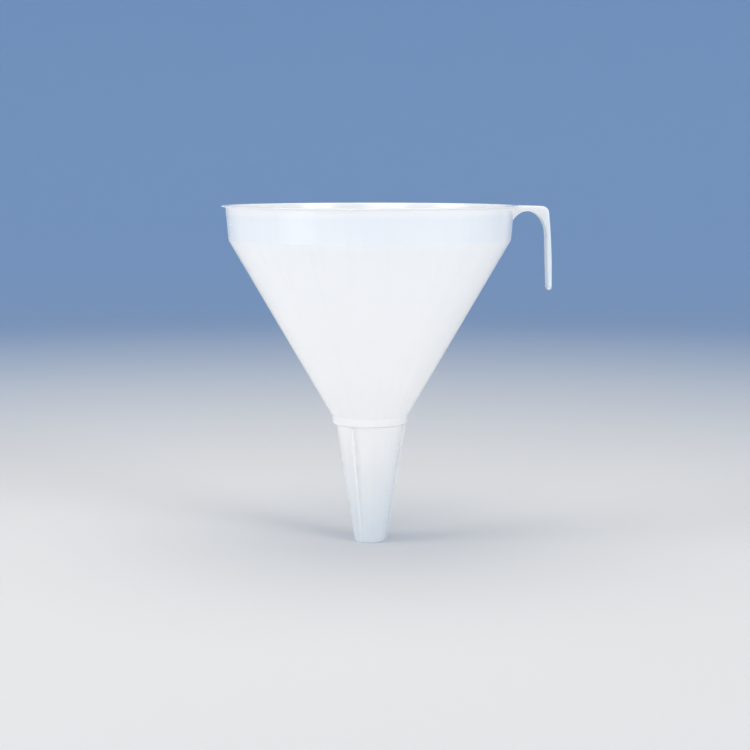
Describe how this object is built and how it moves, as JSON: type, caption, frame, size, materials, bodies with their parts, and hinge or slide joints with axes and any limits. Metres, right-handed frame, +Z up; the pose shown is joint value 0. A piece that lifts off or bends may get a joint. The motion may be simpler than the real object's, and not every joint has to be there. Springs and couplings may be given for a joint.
{
  "type": "laboratory funnel",
  "caption": "White moulded plastic funnel with an upright band at the mouth, a flanged rim, a hook handle, a tapered stem with air ribs and a strainer seat in its throat.",
  "frame": {"origin": "centre of the open tip of the stem, on the funnel's axis", "axes": "+Z up along the funnel's axis to the mouth, +X towards the hook handle, +Y completes a right-handed frame"},
  "size_m": [0.2898, 0.26, 0.3],
  "materials": {
    "polyethylene": "natural white polyethylene, satin, slightly translucent"
  },
  "bodies": {
    "root": {"funnel": "polyethylene"}
  },
  "joints": []
}
